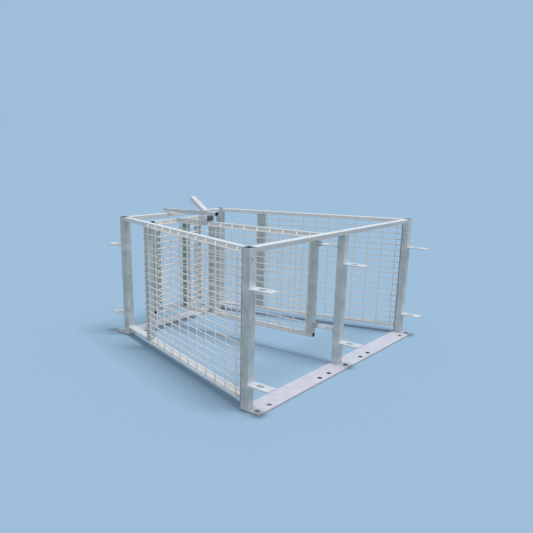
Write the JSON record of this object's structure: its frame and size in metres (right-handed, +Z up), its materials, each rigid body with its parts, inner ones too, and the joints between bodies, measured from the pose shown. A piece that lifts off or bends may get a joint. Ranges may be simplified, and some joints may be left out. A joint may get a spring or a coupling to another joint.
{
  "type": "sheep drafting gate",
  "caption": "Galvanised drafting gate for small stock: a tapered mesh-sided frame with a swinging T-shaped gate that sends animals to the left or right exit.",
  "frame": {"origin": "middle of the outline, at the underside of the base plates", "axes": "+Z up, +Y from the two exits to the inlet, +X across, to the right when looking from the exits to the inlet"},
  "size_m": [2.18, 2.08, 1.1585],
  "materials": {
    "posts": "hot-dip galvanised, mottled",
    "plates": "hot-dip galvanised, mottled",
    "rails": "hot-dip galvanised, mottled",
    "stiles": "hot-dip galvanised, mottled",
    "mesh": "hot-dip galvanised, mottled",
    "lugs": "hot-dip galvanised, mottled",
    "hinge": "hot-dip galvanised, mottled",
    "pins": "hot-dip galvanised, mottled",
    "guide": "hot-dip galvanised, mottled",
    "handle": "hot-dip galvanised, mottled"
  },
  "bodies": {
    "yard_frame": {"exit_base_plate": "plates", "inlet_base_plate": "plates", "left_exit_post": "posts", "middle_exit_post": "posts", "right_exit_post": "posts", "left_inlet_post": "posts", "right_inlet_post": "posts", "exit_top_rail": "rails", "inlet_top_rail": "rails", "left_top_rail": "rails", "right_top_rail": "rails", "left_bottom_rail": "rails", "right_bottom_rail": "rails", "left_stile": "stiles", "right_stile": "stiles", "left_mesh": "mesh", "right_mesh": "mesh", "left_exit_lugs": "lugs", "middle_exit_lugs": "lugs", "right_exit_lugs": "lugs", "left_inlet_lugs": "lugs", "right_inlet_lugs": "lugs", "hinge_lugs": "lugs"},
    "gate": {"hinge_pins": "pins", "hinge_ears": "hinge", "gate_hinge_stile": "stiles", "gate_latch_stile": "stiles", "gate_end_stile": "stiles", "gate_top_rail": "rails", "gate_bottom_rail": "rails", "gate_mesh": "mesh", "wing_top_rail": "rails", "wing_bottom_rail": "rails", "wing_left_stile": "stiles", "wing_right_stile": "stiles", "wing_mesh": "mesh", "handle_sleeve": "guide", "guide_bar": "guide", "guide_end_plate": "guide", "handle": "handle"}
  },
  "joints": [
    {"name": "gate_hinge", "type": "hinge", "parent": "yard_frame", "child": "gate", "pos_m": [0, -0.66, 0.5], "axis": [0, 0, 1], "range_deg": [-16, 8]}
  ]
}
